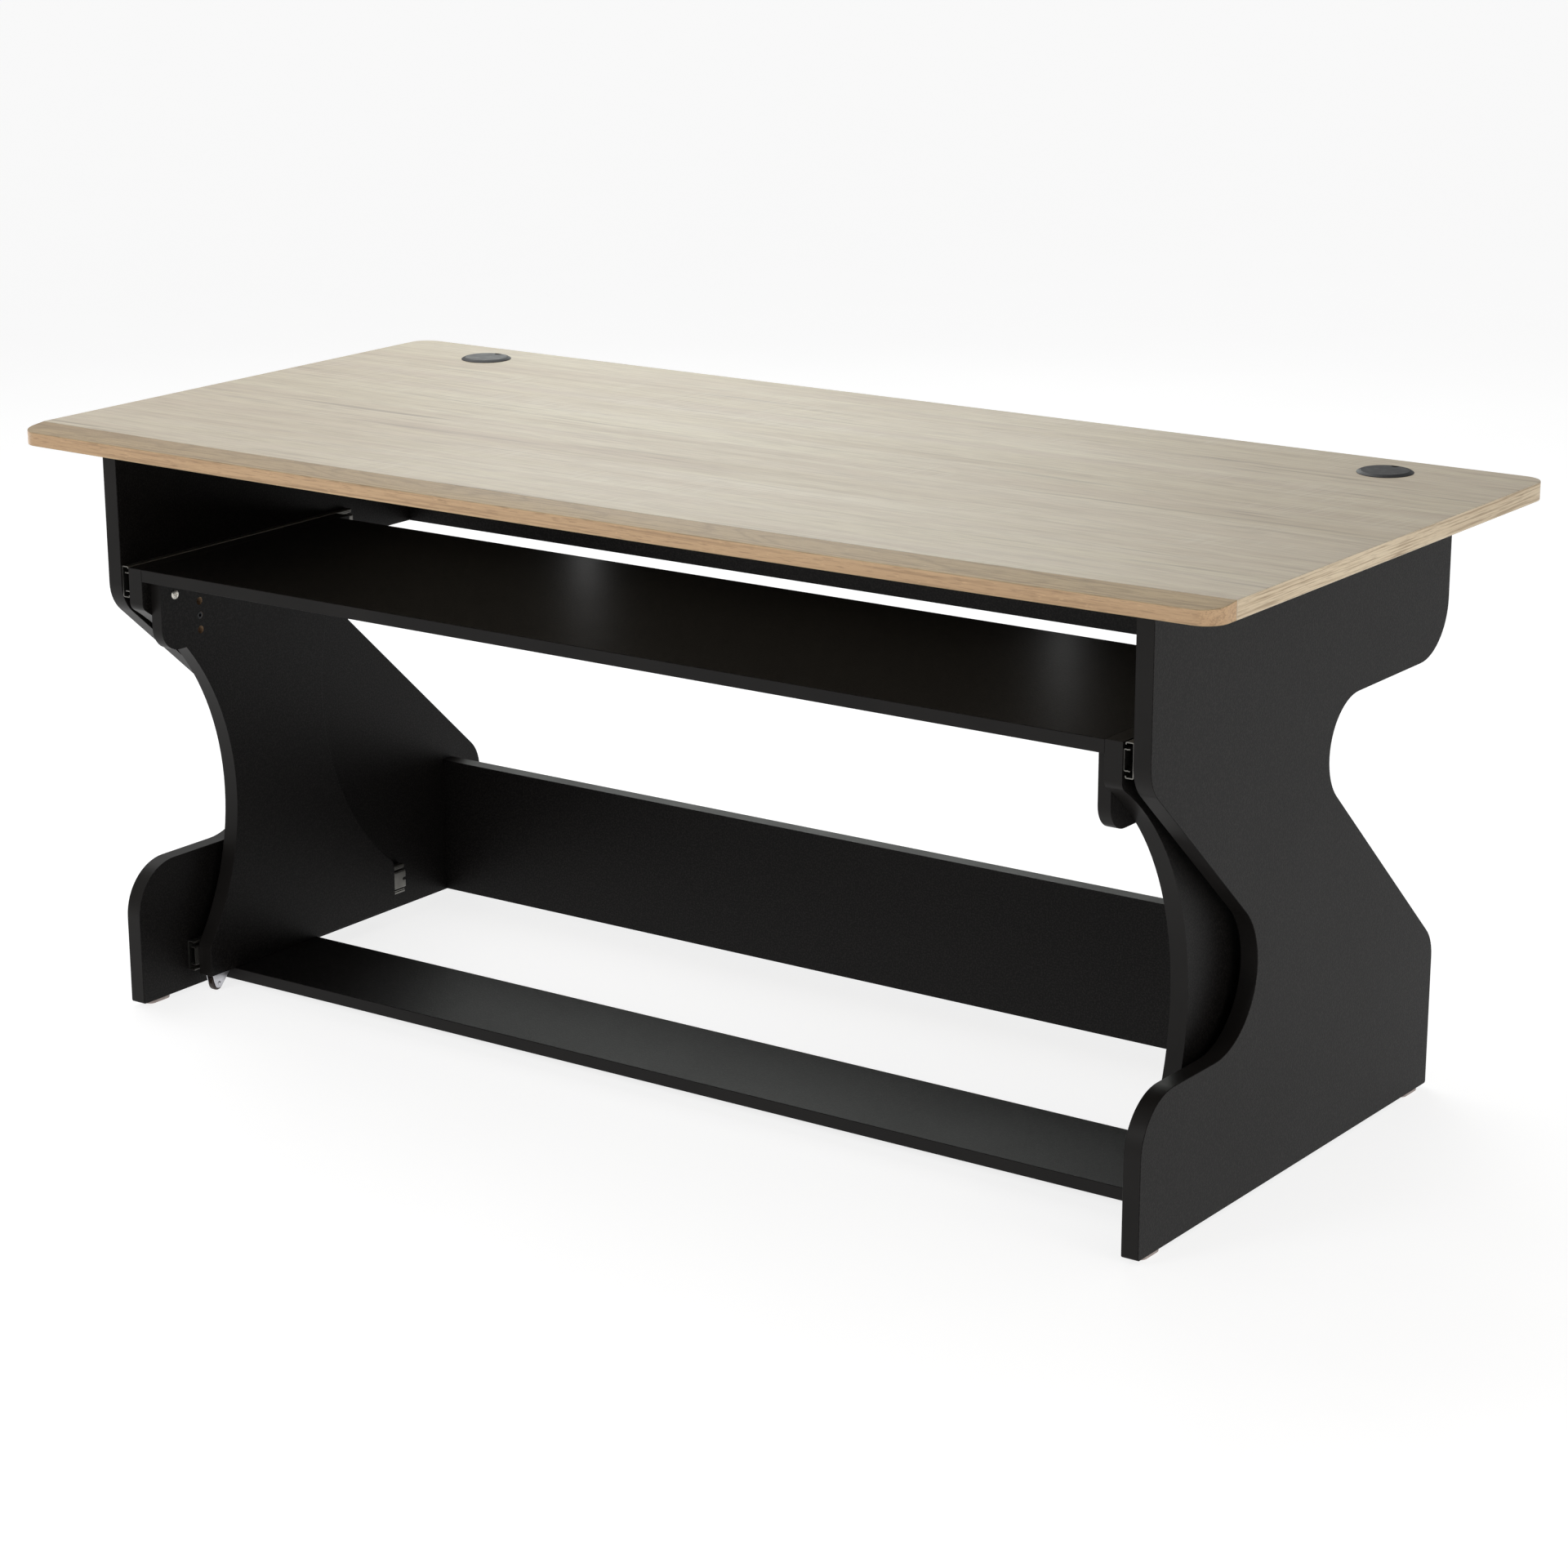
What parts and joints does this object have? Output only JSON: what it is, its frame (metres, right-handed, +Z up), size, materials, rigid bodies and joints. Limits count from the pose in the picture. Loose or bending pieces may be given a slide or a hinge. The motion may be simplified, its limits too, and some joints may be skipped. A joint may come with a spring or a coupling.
{
  "type": "computer desk",
  "caption": "Long writing desk with a wood-grain top on black S-shaped side panels and a full-width keyboard shelf on a carriage that rolls out on telescopic slides.",
  "frame": {"origin": "on the floor, under the middle of the desk top", "axes": "+X along the desk to the sitter's right, -Y towards the sitter, +Z up"},
  "size_m": [1.7, 0.788, 0.7579],
  "materials": {
    "wood_top": "sonoma oak laminate, fine saw texture",
    "solid_nosing": "oiled solid oak",
    "black_board": "black melamine-faced board, fine texture",
    "zinc": "bright zinc plate",
    "screw_steel": "nickel plate",
    "black_plastic": "black satin",
    "glide_plastic": "grey-beige matt",
    "wheel_plastic": "dark brown satin"
  },
  "bodies": {
    "desk": {"desktop_board": "wood_top", "front_nosing": "solid_nosing", "side_panel_left": "black_board", "side_panel_right": "black_board", "rear_stretcher_upper": "black_board", "rear_stretcher_lower": "black_board", "cam_fitting_upper_left_lower": "zinc", "cam_fitting_upper_left_upper": "zinc", "cam_fitting_upper_right_lower": "zinc", "cam_fitting_upper_right_upper": "zinc", "cam_fitting_lower_left_lower": "zinc", "cam_fitting_lower_left_upper": "zinc", "cam_fitting_lower_right_lower": "zinc", "cam_fitting_lower_right_upper": "zinc", "glide_front_left": "glide_plastic", "glide_front_right": "glide_plastic", "glide_rear_left": "glide_plastic", "glide_rear_right": "glide_plastic", "slide_cabinet_upper_left": "zinc", "slide_cabinet_upper_right": "zinc", "slide_cabinet_lower_left": "zinc", "slide_cabinet_lower_right": "zinc", "grommet_sleeve_left": "black_plastic", "grommet_sleeve_right": "black_plastic"},
    "carriage": {"keyboard_shelf": "black_board", "foot_plank": "black_board", "carriage_panel_left": "black_board", "carriage_panel_right": "black_board", "shelf_cleat_left": "black_board", "shelf_cleat_right": "black_board", "slide_drawer_upper_left": "zinc", "slide_drawer_upper_right": "zinc", "slide_drawer_lower_left": "zinc", "slide_drawer_lower_right": "zinc", "cleat_screw_front_left": "screw_steel", "cleat_screw_front_right": "screw_steel", "cleat_screw_rear_left": "screw_steel", "cleat_screw_rear_right": "screw_steel", "cleat_connector_front_left": "black_plastic", "cleat_connector_front_right": "black_plastic", "cleat_connector_rear_left": "black_plastic", "cleat_connector_rear_right": "black_plastic", "castor_bracket_left": "zinc", "castor_bracket_right": "zinc", "castor_axle_left": "zinc", "castor_axle_right": "zinc"},
    "slide_middle_upper_left": {"slide_middle_upper_left": "zinc"},
    "slide_middle_upper_right": {"slide_middle_upper_right": "zinc"},
    "slide_middle_lower_left": {"slide_middle_lower_left": "zinc"},
    "slide_middle_lower_right": {"slide_middle_lower_right": "zinc"},
    "castor_wheel_left": {"castor_wheel_left": "wheel_plastic"},
    "castor_wheel_right": {"castor_wheel_right": "wheel_plastic"},
    "grommet_cap_left": {"grommet_cap_left": "black_plastic"},
    "grommet_cap_right": {"grommet_cap_right": "black_plastic"}
  },
  "joints": [
    {"name": "carriage_slide", "type": "slide", "parent": "desk", "child": "carriage", "axis": [0, -1, 0], "range_m": [0, 0.4]},
    {"name": "slide_middle_upper_left_travel", "type": "slide", "parent": "desk", "child": "slide_middle_upper_left", "axis": [0, -1, 0], "range_m": [0, 0.2]},
    {"name": "slide_middle_upper_right_travel", "type": "slide", "parent": "desk", "child": "slide_middle_upper_right", "axis": [0, -1, 0], "range_m": [0, 0.2]},
    {"name": "slide_middle_lower_left_travel", "type": "slide", "parent": "desk", "child": "slide_middle_lower_left", "axis": [0, -1, 0], "range_m": [0, 0.2]},
    {"name": "slide_middle_lower_right_travel", "type": "slide", "parent": "desk", "child": "slide_middle_lower_right", "axis": [0, -1, 0], "range_m": [0, 0.2]},
    {"name": "castor_roll_left", "type": "hinge", "parent": "carriage", "child": "castor_wheel_left", "pos_m": [-0.7073, -0.228, 0.00975], "axis": [1, 0, 0], "continuous": true},
    {"name": "castor_roll_right", "type": "hinge", "parent": "carriage", "child": "castor_wheel_right", "pos_m": [0.7073, -0.228, 0.00975], "axis": [1, 0, 0], "continuous": true},
    {"name": "grommet_lift_left", "type": "slide", "parent": "desk", "child": "grommet_cap_left", "axis": [0, 0, 1], "range_m": [0, 0.03]},
    {"name": "grommet_lift_right", "type": "slide", "parent": "desk", "child": "grommet_cap_right", "axis": [0, 0, 1], "range_m": [0, 0.03]}
  ],
  "couplings": [
    {"joint": "slide_middle_upper_left_travel", "follows": "carriage_slide", "ratio": 0.5},
    {"joint": "slide_middle_upper_right_travel", "follows": "carriage_slide", "ratio": 0.5},
    {"joint": "slide_middle_lower_left_travel", "follows": "carriage_slide", "ratio": 0.5},
    {"joint": "slide_middle_lower_right_travel", "follows": "carriage_slide", "ratio": 0.5}
  ]
}
